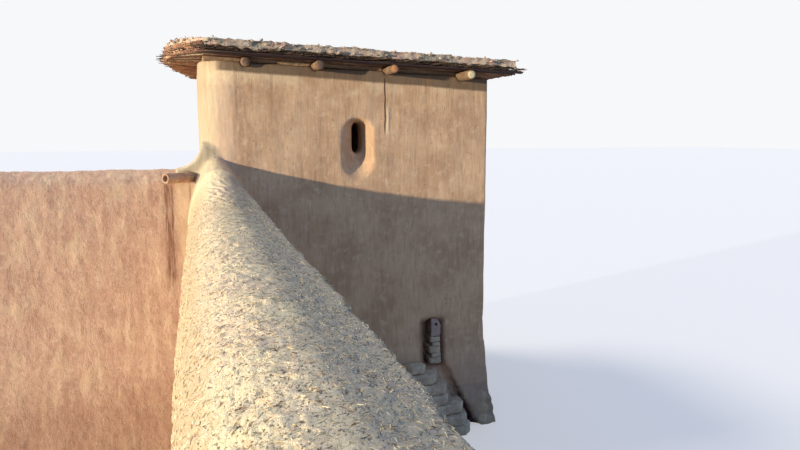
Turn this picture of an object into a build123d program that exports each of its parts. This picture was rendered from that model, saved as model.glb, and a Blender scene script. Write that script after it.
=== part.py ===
from build123d import *
import math
import os

# A small flat-roofed house of sun-dried earth, with the two yard walls that meet its front corner.
# Millimetres. The origin is under the middle of the room, on the ground. X runs along the front
# wall to the right, Y runs from the front wall into the depth, and Z is up.

# House walls. The front wall is the one with the slit window.
house_length = 3360
house_depth = 3000
wall_thickness = 420
wall_height = 4490
corner_radius = 380
fit_gap = 0.3

# Steps of the formula that makes hand-made pieces differ a little.
side_step = 1.7
back_step = 2.9
golden_turn = 2.39
slow_turn = 0.71
golden_phase = 0.8
slow_phase = 0.3

# Stone footing below the earth walls, wider at the ground, and the skirt of the plaster above it.
footing_height = 540
footing_foot_spread = 150
footing_head_spread = 58
skirt_height = 1350

# Ground floor of rammed earth.
floor_thickness = 110

# Doorway in the back wall, with a lintel of logs and a stone threshold.
door_width = 780
door_height = 1760
door_centre = 260
threshold_thickness = 125
lintel_log_radius = 46
lintel_log_pitch = 134
lintel_log_count = 3
lintel_bearing = 190

# Slit window in the front wall: a narrow hole that widens to the outside, most of all at its sill.
slit_from_left = 1755
slit_width = 128
slit_height = 372
slit_sill = 3482
splay_shift = -30
splay_margin = 122
splay_drop = 296
splay_rise = 38
splay_depth = 170

# Old hatch in the foot of the front wall, half closed with flat stones.
hatch_from_right = 702
hatch_width = 236
hatch_height = 585
hatch_sill = 850
hatch_depth = 240
hatch_stone_heights = [74, 58, 84, 56, 72]
hatch_stone_lengths = [156, 122, 148, 110, 140]
hatch_stone_proud = 14
hatch_stone_chamfer = 16
hatch_chamfer_spread = 0.33
hatch_plug_length = 128
hatch_plug_back = 30

# Roof. It falls to the right, and its parts are drawn level and then laid on the sloping wall tops.
roof_slope = 1.83
beam_top = 55
beam_count = 4
first_beam_inset = 72
last_beam_inset = 5
beam_wanders = [0, -91, -96, 0]
beam_butt_radii = [52, 50, 47, 56]
beam_tip_radii = [44, 41, 41, 48]
beam_bows = [18, -30, 26, -20]
beam_skews = [0, 54, 70, 92]
beam_front_reaches = [60, 190, 258, 262]
beam_back_reach = 215
beam_ragged = 18
beam_stations = 5

# Earth packed between the beams on top of the walls, set back from the outer face.
packing_setback = 55
packing_width = 300

# Canes laid side by side across the beams.
cane_width = 28
cane_overlap = 1.2
canes_per_bundle = 8
bundle_least_gap = 2.5
cane_setback = 42
cane_ragged = 34
cane_bias = 0.6
cane_front_curve = 1.7
cane_back_curve = 2.2

# Brush and earth on the canes.
brush_thickness = 16
brush_setback = 18
roof_thickness = 112
roof_crown = 38
roof_swell = 18
swell_length = 420

# How far the roof stands out past each wall. The left edge bulges, and the front corner is cut.
overhang_front = 300
overhang_back = 280
overhang_right = 290
overhang_left = 370
overhang_left_back = 70
corner_cut_front = 95
corner_cut_side = 900
corner_cut_belly = 40
corner_cut_share = 0.36
bulge_length = 500
edge_wander = 40

# Yard wall that runs forward from the front left corner, with a thick domed coping of straw mud.
bay_length = 2000
bay_count = 3
coping_from_left = 220
coping_width = 770
coping_base = 2770
coping_rise = 280
coping_wander = 12
coping_shoulder_share = 0.74
coping_flank = 0.25
boundary_head_width = 700
boundary_foot_width = 860

# Sweep where the coping climbs onto the rounded corner of the house.
sweep_length = 1250
sweep_climb = 500
sweep_shift = -78
sweep_shoulder = 350
sweep_narrowing = 130
sweep_steps = 8
sweep_curve = 2.1
sweep_full_share = 0.86

# Low wall that runs to the left from the same corner.
side_wall_length = 2350
side_wall_thickness = 400
side_wall_setback = 50
side_wall_height = 3330
side_wall_crown_rise = 130
side_wall_batter = 35

# Mud fillet between the corner of the house and the top of the low wall, and the drain in it.
fillet_reach = 270
fillet_rise = 300
fillet_hollow = 0.3
fillet_inset = 18
spout_outer_radius = 54
spout_bore_radius = 34
spout_length = 400
spout_bore_depth = 300
spout_below_crown = 78
spout_mouth_left = 370
spout_mouth_front = 150
spout_turn = 42

# Flat stones heaped like steps against the foot of the front wall, below the hatch.
slab_sizes = [(860, 400, 150), (810, 375, 125), (770, 350, 135), (560, 320, 125), (530, 300, 135),
              (400, 265, 130), (250, 235, 110)]
slab_shifts = [-18, -36, -46, -146, -142, -202, -274]
slab_turns = [3, -4, 5, -6, 4, -5, 7]
slab_corner_share = 0.22
slab_tuck = 20

left_face = -house_length / 2
right_face = house_length / 2
front_face = -house_depth / 2
back_face = house_depth / 2
wall_inner_x = house_length / 2 - wall_thickness
wall_inner_y = house_depth / 2 - wall_thickness
tall = wall_height + house_length
slit_centre = left_face + slit_from_left
hatch_centre = right_face - hatch_from_right
hatch_spring = hatch_sill + hatch_height - hatch_width / 2
coping_centre = left_face + coping_from_left
side_wall_shoulder = side_wall_height - side_wall_crown_rise
side_wall_front = front_face + side_wall_setback
side_wall_end = left_face - side_wall_length
roof_place = Pos(left_face, 0, wall_height) * Rot(0, roof_slope, 0)
cane_bottom = beam_top + fit_gap
cane_top = cane_bottom + cane_width
brush_bottom = cane_top + fit_gap
earth_bottom = brush_bottom + brush_thickness + fit_gap
cane_pitch = cane_width - cane_overlap
bundle_width = cane_pitch * canes_per_bundle + cane_overlap
mat_depth = house_depth + overhang_front + overhang_back - 2 * cane_setback
bundle_count = int((mat_depth + bundle_least_gap) / (bundle_width + bundle_least_gap))
bundle_gap = (mat_depth - bundle_count * bundle_width) / (bundle_count - 1)


def block(x0, x1, y0, y1, z0, z1):
    """A box between two corners."""
    size = (x1 - x0, y1 - y0, z1 - z0)
    return Pos((x0 + x1) / 2, (y0 + y1) / 2, (z0 + z1) / 2) * Box(*size)


def house_outline(grow):
    """Plan of the house walls, with the rounded front left corner."""
    plan = Rectangle(house_length + 2 * grow, house_depth + 2 * grow)
    corner = plan.vertices().sort_by(Axis.Y)[:2].sort_by(Axis.X)[0]
    return fillet(corner, corner_radius + grow)


def house_foot(grow):
    """The stone footing as one mass."""
    return loft([house_outline(footing_foot_spread + grow),
                 Pos(0, 0, footing_height) * house_outline(footing_head_spread + grow)])


def house_skirt(grow):
    """The mass where the earth walls spread outward above the footing."""
    return loft([Pos(0, 0, footing_height) * house_outline(footing_head_spread + grow),
                 Pos(0, 0, skirt_height) * house_outline(grow)])


def house_core(grow):
    """The whole house as one mass, for cutting what leans on it."""
    return extrude(house_outline(grow), tall) + house_foot(grow) + house_skirt(grow)


def uneven(index, step=side_step):
    """A number between -1 and 1 that differs from one copy to the next."""
    quick = math.sin(index * step * golden_turn + golden_phase)
    slow = math.cos(index * step * slow_turn + slow_phase)
    return quick * slow


def slit_slot(plane, shift, width, low, high):
    """An upright slot with round ends. The plane looks into the wall, so its second axis points down."""
    return plane * Pos(slit_centre + shift, -(low + high) / 2) * SlotOverall(high - low, width, rotation=90)


def window_cutter():
    """The slit and its splay, from outside the front face to inside the room."""
    outside = Plane(origin=(0, front_face, 0), x_dir=(1, 0, 0), z_dir=(0, 1, 0))
    slit_head = slit_sill + slit_height
    wide = slit_slot(outside, splay_shift, slit_width + 2 * splay_margin,
                     slit_sill - splay_drop, slit_head + splay_rise)
    narrow = slit_slot(outside.offset(splay_depth), 0, slit_width, slit_sill, slit_head)
    return loft([wide, narrow]) + extrude(narrow, wall_thickness)


def hatch_cutter(grow):
    """The old hatch: a niche with an arched head."""
    half = hatch_width / 2 + grow
    body = block(hatch_centre - half, hatch_centre + half, front_face - hatch_depth,
                 front_face + hatch_depth, hatch_sill, hatch_spring)
    head = Pos(hatch_centre, front_face, hatch_spring) * Rot(90, 0, 0) * Cylinder(half, 2 * hatch_depth)
    return body + head


def beam_place(index):
    """Where a beam lies along the level roof, between the inner faces of the end walls."""
    first = wall_thickness + first_beam_inset
    last = house_length - wall_thickness - last_beam_inset
    return first + (last - first) * index / (beam_count - 1) + beam_wanders[index]


def beam(index, grow):
    """A crooked log along Y with a level top, drawn on the level roof."""
    sections = []
    low = front_face - beam_front_reaches[index] - grow
    high = back_face + beam_back_reach + beam_ragged * uneven(index, back_step) + grow
    for station in range(beam_stations):
        share = station / (beam_stations - 1)
        radius = beam_butt_radii[index] + (beam_tip_radii[index] - beam_butt_radii[index]) * share
        sideways = beam_place(index) + beam_bows[index] * math.sin(math.pi * share)
        sideways += beam_skews[index] * (1 - share) ** 2
        centre = (sideways, low + (high - low) * share, beam_top - radius)
        plane = Plane(origin=centre, x_dir=(1, 0, 0), z_dir=(0, 1, 0))
        sections.append(plane * Circle(radius + grow))
    return roof_place * loft(sections, ruled=True)


def lintel_logs(grow):
    """Short logs side by side over the doorway."""
    length = door_width + 2 * lintel_bearing + 2 * grow
    logs = []
    for index in range(lintel_log_count):
        y = back_face - wall_thickness / 2 + (index - (lintel_log_count - 1) / 2) * lintel_log_pitch
        place = Pos(door_centre, y, door_height + lintel_log_radius) * Rot(0, 90, 0)
        logs.append(place * Cylinder(lintel_log_radius + grow, length))
    return logs


def roof_outline(grow):
    """Plan of the roof on the level, measured from the left face of the house."""
    front = front_face - overhang_front - grow
    back = back_face + overhang_back + grow
    right = house_length + overhang_right + grow
    start = (corner_cut_front - grow / 2, front)
    bulge = (-overhang_left - grow, front_face + corner_cut_side)
    quarter = ((start[0] + bulge[0]) / 2 - corner_cut_belly, front + (bulge[1] - front) * corner_cut_share)
    low_bulge = (-overhang_left - grow, bulge[1] + bulge_length)
    finish = (-overhang_left_back - grow, back)
    edge = Spline(start, quarter, bulge, low_bulge, finish)
    rest = Polyline(finish, (right, back), (right - edge_wander, front), start)
    return make_face([edge, rest])


def roof_top(column, row, y):
    """How high the mud stands there: a low crown along the middle, with swells as laid by hand."""
    span = house_depth / 2 + overhang_front
    swell = uneven(column * golden_turn + row, back_step) * uneven(row * slow_turn + column)
    return earth_bottom + roof_thickness + roof_crown * (1 - (y / span) ** 2) + roof_swell * swell


def roof_mound():
    """The mud's uneven upper side, as slices across the roof."""
    length = house_length + overhang_left + overhang_right + 2 * edge_wander
    depth = house_depth + overhang_front + overhang_back + 2 * edge_wander
    columns = round(length / swell_length)
    rows = round(depth / swell_length)
    sections = []
    for column in range(columns + 1):
        along = length * column / columns - overhang_left - edge_wander
        ends = [front_face - overhang_front - edge_wander, back_face + overhang_back + edge_wander]
        points = [(ends[1], 0), (ends[0], 0)]
        for row in range(rows + 1):
            y = ends[0] + (ends[1] - ends[0]) * row / rows
            points.append((y, roof_top(column, row, y)))
        plane = Plane(origin=(along, 0, 0), x_dir=(0, 1, 0), z_dir=(1, 0, 0))
        sections.append(plane * make_face(Polyline(*points, close=True)))
    return loft(sections, ruled=True)


def left_reach(y):
    """Where the canes end on the left, as a place along the level roof."""
    start = front_face - overhang_front
    middle = front_face + corner_cut_side
    if y < middle:
        share = (middle - y) / (middle - start)
        return -overhang_left + (overhang_left + corner_cut_front) * share ** cane_front_curve
    share = (y - middle) / (back_face + overhang_back - middle)
    return -overhang_left + (overhang_left - overhang_left_back) * share ** cane_back_curve


def cane_bundles(first, last):
    """Bundles of canes laid across the beams, each cane with its own ragged ends."""
    mat_front = front_face - overhang_front + cane_setback
    bundles = []
    for number in range(first, last):
        near = mat_front + number * (bundle_width + bundle_gap) + cane_width / 2
        canes = []
        for place in range(canes_per_bundle):
            index = number * canes_per_bundle + place
            y = near + place * cane_pitch
            left = left_reach(y) + cane_ragged * (uneven(index) - cane_bias)
            right = house_length + overhang_right + cane_ragged * (uneven(index, back_step) + cane_bias)
            profile = RegularPolygon(cane_width / 2, 8, major_radius=False, rotation=22.5)
            plane = Plane(origin=(left, y, cane_bottom + cane_width / 2), x_dir=(0, 1, 0), z_dir=(1, 0, 0))
            canes.append(extrude(plane * profile, right - left))
        bundles.append(roof_place * (canes[0] + canes[1:]))
    return bundles


def coping_section(y, centre, width, rise, shoulder):
    """One upright slice of the domed coping."""
    half = width / 2
    level = rise * coping_shoulder_share
    points = [(-half, 0), (-shoulder / 2, level), (0, rise), (shoulder / 2, level), (half, 0)]
    crown = Spline(*points, tangents=((coping_flank, 1), (coping_flank, -1)))
    face = make_face([crown, Line(points[-1], points[0])])
    plane = Plane(origin=(centre, y, coping_base), x_dir=(1, 0, 0), z_dir=(0, -1, 0))
    return plane * face


def coping_bay(number):
    """One bay of the coping, with a slow wander in line, width and height."""
    sections = []
    for half_step in range(3):
        station = number * 2 + half_step
        y = front_face - sweep_length - station * (bay_count * bay_length - sweep_length) / (2 * bay_count)
        drift = coping_wander * uneven(station)
        swell = coping_wander * uneven(station, back_step)
        if station == 0:
            drift = 0
            swell = 0
        sections.append(coping_section(y, coping_centre + drift, coping_width + swell, coping_rise + swell,
                                       (coping_width + swell) * coping_shoulder_share))
    return loft(sections, ruled=True)


def coping_sweep():
    """The end of the coping, which climbs and narrows onto the rounded corner."""
    sections = []
    reach = sweep_length + corner_radius
    level_shoulder = coping_width * coping_shoulder_share
    for step in range(sweep_steps + 1):
        share = step / sweep_steps
        climb = min((share / sweep_full_share) ** sweep_curve, 1)
        y = front_face - sweep_length + reach * share
        rise = coping_rise + sweep_climb * climb
        shoulder = level_shoulder + (sweep_shoulder - level_shoulder) * climb
        sections.append(coping_section(y, coping_centre + sweep_shift * climb,
                                       coping_width - sweep_narrowing * climb, rise, shoulder))
    return loft(sections, ruled=True)


def boundary_body(y0, y1):
    """A straight stretch of the yard wall below its coping."""
    head = boundary_head_width / 2
    foot = boundary_foot_width / 2
    profile = Polygon((-foot, 0), (foot, 0), (head, coping_base), (-head, coping_base), align=None)
    plane = Plane(origin=(coping_centre, y1, 0), x_dir=(1, 0, 0), z_dir=(0, -1, 0))
    return extrude(plane * profile, y1 - y0)


def side_wall_body(grow):
    """The low wall up to its rounded top, battered on both faces."""
    front = side_wall_front - grow
    back = side_wall_front + side_wall_thickness + grow
    profile = Polygon((front - side_wall_batter, 0), (back + side_wall_batter, 0),
                      (back, side_wall_shoulder), (front, side_wall_shoulder), align=None)
    plane = Plane(origin=(side_wall_end, 0, 0), x_dir=(0, 1, 0), z_dir=(1, 0, 0))
    return extrude(plane * profile, side_wall_length - fit_gap + grow)


def side_wall_crown():
    """The rounded top of the low wall."""
    low = side_wall_front
    back = low + side_wall_thickness
    arc = ThreePointArc((low, 0), ((low + back) / 2, side_wall_crown_rise), (back, 0))
    face = make_face([arc, Line((back, 0), (low, 0))])
    plane = Plane(origin=(side_wall_end, 0, side_wall_shoulder), x_dir=(0, 1, 0), z_dir=(1, 0, 0))
    return extrude(plane * face, side_wall_length - fit_gap)


def corner_fillet_mass():
    """Mud run up from the low wall's top to the corner of the house, hollow-sided and round-backed."""
    wall = left_face - fit_gap
    toe = (wall - fillet_reach, side_wall_height)
    head = (wall, side_wall_height + fillet_rise)
    belly = (wall - fillet_reach * fillet_hollow, side_wall_height + fillet_rise * fillet_hollow)
    inner = left_face + corner_radius
    base = Polyline(head, (inner, head[1]), (inner, side_wall_shoulder), (toe[0], side_wall_shoulder), toe)
    plane = Plane(origin=(0, side_wall_front + side_wall_thickness, 0), x_dir=(1, 0, 0), z_dir=(0, -1, 0))
    hollow = extrude(plane * make_face([ThreePointArc(toe, belly, head), base]), side_wall_thickness)
    low = side_wall_front + fillet_inset
    back = side_wall_front + side_wall_thickness - fillet_inset
    foot = side_wall_shoulder
    arc = ThreePointArc((low, foot), ((low + back) / 2, head[1] + fillet_inset), (back, foot))
    across = Plane(origin=(toe[0], 0, 0), x_dir=(0, 1, 0), z_dir=(1, 0, 0))
    return hollow & extrude(across * make_face([arc, Line((back, foot), (low, foot))]), inner - toe[0])


def spout_place():
    """The drain's mouth, with its own Z along the pipe and into the corner."""
    height = side_wall_height - spout_below_crown
    mouth = Pos(left_face - spout_mouth_left, front_face - spout_mouth_front, height)
    return mouth * Rot(0, 0, spout_turn) * Rot(0, 90, 0)


def spout_solid(grow):
    """The drain's outside, from its mouth to its buried end."""
    return spout_place() * Pos(0, 0, spout_length / 2) * Cylinder(
        spout_outer_radius + grow, spout_length + 2 * grow)


def hatch_stones():
    """Flat stones stacked in the right side of the hatch, with mud packed above them."""
    right = hatch_centre + hatch_width / 2 - fit_gap
    level = hatch_sill + fit_gap
    stack = None
    for index, height in enumerate(hatch_stone_heights):
        length = hatch_stone_lengths[index]
        front = front_face - hatch_stone_proud * (1 + uneven(index))
        stone = block(right - length, right, front, front_face + hatch_depth - fit_gap, level, level + height)
        edge = stone.edges().filter_by(Axis.Z).sort_by(Axis.Y)[:2]
        stone = chamfer(edge, hatch_stone_chamfer * (1 + hatch_chamfer_spread * uneven(index, back_step)))
        stack = stone if stack is None else stack + stone
        level += height
    plug = block(right - hatch_plug_length, right, front_face, front_face + hatch_depth - hatch_plug_back,
                 level, hatch_sill + hatch_height)
    return stack + (plug & hatch_cutter(-fit_gap))


def foot_slabs():
    """A stack of flat stones against the foot of the wall, each smaller than the one below."""
    stack = None
    level = 0
    for size, shift, turn in zip(slab_sizes, slab_shifts, slab_turns):
        length, width, height = size
        plan = Rectangle(length, width)
        plan = chamfer(plan.vertices(), width * slab_corner_share)
        y = front_face - width / 2 + slab_tuck
        stone = Pos(hatch_centre + shift, y, level) * Rot(0, 0, turn) * extrude(plan, height)
        stack = stone if stack is None else stack + stone
        level += height
    return stack - house_core(fit_gap)


def write(name, *solids):
    """Write one named piece, of one or more solids."""
    shape = solids[0] if len(solids) == 1 else Compound(list(solids))
    shape.label = name
    export_step(shape, "parts/" + name + ".step")


os.makedirs("parts", exist_ok=True)

# The zones that split the ring of walls into pieces, drawn past the foot of the stone footing.
far_left = left_face - 2 * footing_foot_spread
far_right = right_face + 2 * footing_foot_spread
far_front = front_face - 2 * footing_foot_spread
far_back = back_face + 2 * footing_foot_spread
zones = {
    "corner": (far_left, -wall_inner_x, far_front, -wall_inner_y),
    "front": (-wall_inner_x, far_right, far_front, -wall_inner_y),
    "left": (far_left, -wall_inner_x, -wall_inner_y, wall_inner_y),
    "right": (wall_inner_x, far_right, -wall_inner_y, wall_inner_y),
    "back_left": (far_left, door_centre - door_width / 2, wall_inner_y, far_back),
    "back_right": (door_centre + door_width / 2, far_right, wall_inner_y, far_back),
}
room = block(-wall_inner_x, wall_inner_x, -wall_inner_y, wall_inner_y, -tall, tall)

# Stone footing.
footing = house_foot(0) - room
for zone, (x0, x1, y0, y1) in zones.items():
    write("footing_" + zone, footing & block(x0, x1, y0, y1, 0, footing_height))

# Floor and threshold.
floor_x = wall_inner_x - fit_gap
floor_y = wall_inner_y - fit_gap
write("earth_floor", block(-floor_x, floor_x, -floor_y, floor_y, 0, floor_thickness))
write("threshold_stone", block(door_centre - door_width / 2 + fit_gap, door_centre + door_width / 2 - fit_gap,
                               wall_inner_y, back_face + footing_head_spread, 0, threshold_thickness))

# Earth walls.
ring = extrude(house_outline(0), tall) + house_skirt(0) - room
ring -= block(left_face * 2, right_face * 2, front_face * 2, back_face * 2, -1, footing_height)
ring -= roof_place * block(-house_length, 2 * house_length, -house_depth, house_depth, 0, tall)
beam_cutters = [beam(index, fit_gap) for index in range(beam_count)]
ring -= beam_cutters
lintel_cutters = lintel_logs(fit_gap)
ring -= lintel_cutters
wall_names = {
    "corner": "corner_mass",
    "front": "front_wall",
    "left": "left_wall",
    "right": "right_wall",
    "back_left": "back_wall_left",
    "back_right": "back_wall_right",
}
for zone, (x0, x1, y0, y1) in zones.items():
    wall = ring & block(x0, x1, y0, y1, 0, tall)
    if zone == "front":
        wall -= window_cutter()
        wall -= hatch_cutter(0)
    write(wall_names[zone], wall)
over_door = block(door_centre - door_width / 2, door_centre + door_width / 2, wall_inner_y, far_back,
                  door_height + lintel_log_radius, tall)
write("back_wall_over_door", ring & over_door)
write("door_lintel", *lintel_logs(0))
write("hatch_stones", hatch_stones())

# Packing on the wall tops between the beams.
packing_ring = Rectangle(house_length - 2 * packing_setback, house_depth - 2 * packing_setback)
packing_hole = Rectangle(house_length - 2 * packing_setback - 2 * packing_width,
                         house_depth - 2 * packing_setback - 2 * packing_width)
packing = extrude(packing_ring - packing_hole, beam_top - fit_gap)
packing = roof_place * Pos(house_length / 2, 0, fit_gap) * packing - beam_cutters
split_y = house_depth / 2 - packing_setback - packing_width
packing_zones = {
    "front": (left_face, right_face, front_face, -split_y),
    "back": (left_face, right_face, split_y, back_face),
    "left": (left_face, 0, -split_y, split_y),
    "right": (0, right_face, -split_y, split_y),
}
for zone, (x0, x1, y0, y1) in packing_zones.items():
    strip = packing & block(x0, x1, y0, y1, 0, tall)
    write("eaves_packing_" + zone, *strip.solids())

# Roof.
for index in range(beam_count):
    write("roof_beam_" + str(index + 1), beam(index, 0))
third = bundle_count // 3
write("cane_mat_front", *cane_bundles(0, third))
write("cane_mat_middle", *cane_bundles(third, bundle_count - third))
write("cane_mat_back", *cane_bundles(bundle_count - third, bundle_count))
brush = extrude(roof_outline(-brush_setback), brush_thickness)
write("brush_layer", roof_place * Pos(0, 0, brush_bottom) * brush)
slab = Pos(0, 0, earth_bottom) * extrude(roof_outline(0), roof_thickness + roof_crown + roof_swell)
write("earth_roof", roof_place * (slab & roof_mound()))

# Yard wall with its coping.
core = house_core(fit_gap)
beside = block(left_face - 2 * side_wall_length, left_face, side_wall_front - fit_gap, back_face, 0, tall)
beside += side_wall_body(fit_gap)
for number in range(bay_count):
    y1 = front_face - number * bay_length
    y0 = y1 - bay_length
    if number == 0:
        y1 = front_face + corner_radius
    body = boundary_body(y0, y1)
    if number == 0:
        body = body - core - beside
    write("boundary_wall_" + str(number + 1), body)
    write("wall_coping_" + str(number + 1), coping_bay(number))
spout_cutter = spout_solid(fit_gap)
sweep = coping_sweep() - core - beside
write("coping_sweep", sweep - spout_cutter)

# Low wall, its top, the fillet and the drain.
write("side_wall", side_wall_body(0) - spout_cutter - core)
crown = side_wall_crown()
write("side_wall_crown", crown - spout_cutter)
write("corner_fillet", corner_fillet_mass() - crown - core - sweep - spout_cutter)
bore = spout_place() * Pos(0, 0, spout_bore_depth / 2) * Cylinder(spout_bore_radius, spout_bore_depth)
write("drain_spout", spout_solid(0) - bore)

write("foot_slabs", foot_slabs())
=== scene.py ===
import math
import random
from typing import NamedTuple

import bmesh
import bpy
import numpy as np
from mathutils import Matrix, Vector
from mathutils.bvhtree import BVHTree


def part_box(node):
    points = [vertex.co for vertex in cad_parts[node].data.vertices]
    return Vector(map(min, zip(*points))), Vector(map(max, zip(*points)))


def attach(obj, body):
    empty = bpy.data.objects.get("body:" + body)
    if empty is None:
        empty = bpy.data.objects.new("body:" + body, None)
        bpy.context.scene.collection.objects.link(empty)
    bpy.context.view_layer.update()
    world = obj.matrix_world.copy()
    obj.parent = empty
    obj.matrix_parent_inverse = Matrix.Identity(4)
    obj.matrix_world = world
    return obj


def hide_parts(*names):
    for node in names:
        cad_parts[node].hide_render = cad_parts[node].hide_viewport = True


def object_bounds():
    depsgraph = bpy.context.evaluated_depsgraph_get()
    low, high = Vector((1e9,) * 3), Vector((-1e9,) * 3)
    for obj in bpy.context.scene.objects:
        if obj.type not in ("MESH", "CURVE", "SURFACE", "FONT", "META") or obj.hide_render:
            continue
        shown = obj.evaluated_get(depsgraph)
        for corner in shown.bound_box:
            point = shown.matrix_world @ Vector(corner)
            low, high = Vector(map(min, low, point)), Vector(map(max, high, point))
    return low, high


# The looks of a small flat-roofed earth house and its two yard walls, in metres, in the frame of the
# CAD nodes. X runs along the front wall to the right, Y into the depth, and Z up.

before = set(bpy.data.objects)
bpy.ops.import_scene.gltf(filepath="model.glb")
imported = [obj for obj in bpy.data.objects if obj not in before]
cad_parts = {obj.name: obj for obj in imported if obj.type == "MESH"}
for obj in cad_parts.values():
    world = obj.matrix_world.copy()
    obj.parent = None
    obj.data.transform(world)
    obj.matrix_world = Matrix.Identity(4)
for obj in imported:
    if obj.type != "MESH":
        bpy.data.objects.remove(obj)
cad_low, cad_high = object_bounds()

# Places read from the nodes, or measured from them.
CORNER_LOW, CORNER_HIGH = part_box("corner_mass")
DRAIN_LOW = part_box("drain_spout")[0]
HATCH_LOW, HATCH_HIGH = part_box("hatch_stones")
FRONT_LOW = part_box("front_wall")[0]
RIGHT_LOW, RIGHT_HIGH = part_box("right_wall")
COPING_LOW, COPING_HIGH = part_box("wall_coping_1")
SWEEP_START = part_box("coping_sweep")[0].y
CROWN_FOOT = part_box("side_wall_crown")[0].z
ROOF_LOW, ROOF_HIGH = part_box("earth_roof")
LEFT_FACE = CORNER_LOW.x
FRONT_FACE = CORNER_LOW.y
HOUSE_LENGTH = RIGHT_HIGH.x - LEFT_FACE
ROOM_LEFT = FRONT_LOW.x
ROOM_FRONT = CORNER_HIGH.y
ROOM_BACK = -ROOM_FRONT
DOOR_LEFT, DOOR_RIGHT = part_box("back_wall_left")[1].x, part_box("back_wall_right")[0].x
COPING_CENTRE = (COPING_LOW.x + COPING_HIGH.x) / 2
COPING_BASE = COPING_LOW.z
WALL_TOP = CORNER_HIGH.z
DRAIN_X = DRAIN_LOW.x + 0.04
DRAIN_Z = DRAIN_LOW.z
HATCH_X = HATCH_HIGH.x - 0.118
HATCH_TOP = HATCH_HIGH.z
PLUG_FOOT = HATCH_HIGH.z - 0.243
FOOT_TOP = FRONT_LOW.z
ROOF_SLOPE = math.atan((WALL_TOP - RIGHT_HIGH.z) / (RIGHT_LOW.x - LEFT_FACE))

# The coping is smooth behind the first of these and rough in front of the second.
ROUGH_FROM = SWEEP_START + 0.75
ROUGH_TO = SWEEP_START + 0.3

# The crack that runs down the front wall from the eaves.
CRACK_X = LEFT_FACE + 2.114
CRACK_LOW = WALL_TOP - 0.78
CRACK_HIGH = WALL_TOP - 0.19

# The washed-out trench that runs down to the right from the hatch: its top, and its run per fall.
TRENCH_X = HATCH_X + 0.1
TRENCH_TOP = HATCH_LOW.z - 0.02
TRENCH_RUN = 0.52

# The camera stands in the yard at the photograph's place and looks over the coping to the house.
CAMERA_PLACE = (-1.725, -8.5, 3.7)
CAMERA_RIGHT_TURN = 18.04
CAMERA_DOWN_TILT = 8.26
CAMERA_LENS = 27.9

# Grain of the remeshed earth, in metres.
CORNER_GRAIN = 0.013
COPING_GRAIN = 0.0112
FRONT_GRAIN = 0.025
SIDE_GRAIN = 0.045
YARD_GRAIN = 0.045
RED_GRAIN = 0.027
ROOF_GRAIN = 0.03
RUBBLE_GRAIN = 0.03
STONE_GRAIN = 0.017
LOG_GRAIN = 0.017
EAVES_GRAIN = 0.02
BRUSH_GRAIN = 0.05
DRAIN_GRAIN = 0.008

# How far a skin stands out from its nodes, how deep the clods sit, and how far apart the finger
# strokes on the sweep lie.
SKIN_SWELL = 0.002
CLOD_SINK = 0.016
STROKE_WIDTH = 0.05

# Straws and clods to the square metre, and how many twigs and canes there are.
STRAW_DENSITY = 1900.0
CLOD_DENSITY = 210.0
TWIGS = 950
LOOSE_CANES = 9
LOOSE_RIM_CANES = 7
RIM_CANES = 70

COARSENING = 1


def rgb(code):
    """A linear colour from a web colour code."""
    parts = [int(code[place:place + 2], 16) / 255 for place in (0, 2, 4)]
    linear = [part / 12.92 if part < 0.04 else ((part + 0.055) / 1.055) ** 2.4 for part in parts]
    return (*linear, 1)


class Wire:
    """A socket's output that takes part in arithmetic, adding Math nodes to its tree."""

    def __init__(self, sheet, socket):
        self.sheet = sheet
        self.socket = socket

    def math(self, operation, *others):
        return self.sheet.add("ShaderNodeMath", dict(enumerate((self, *others))), operation=operation)

    def __add__(self, other):
        return self.math("ADD", other)

    def __sub__(self, other):
        return self.math("SUBTRACT", other)

    def __rsub__(self, other):
        return self.sheet.add("ShaderNodeMath", {0: other, 1: self}, operation="SUBTRACT")

    def __mul__(self, other):
        return self.math("MULTIPLY", other)

    def __rtruediv__(self, other):
        return self.sheet.add("ShaderNodeMath", {0: other, 1: self}, operation="DIVIDE")

    __radd__ = __add__
    __rmul__ = __mul__

    def band(self, start, end, low=0.0, high=1.0):
        """A smooth step from low at start to high at end."""
        values = {"Value": self, "From Min": start, "From Max": end, "To Min": low, "To Max": high}
        return self.sheet.add("ShaderNodeMapRange", values, interpolation_type="SMOOTHSTEP")

    def near(self, centre, reach):
        """1 at centre, falling smoothly to 0 at that reach on both sides."""
        return (self - centre).math("ABSOLUTE").band(reach, 0.0)


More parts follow.
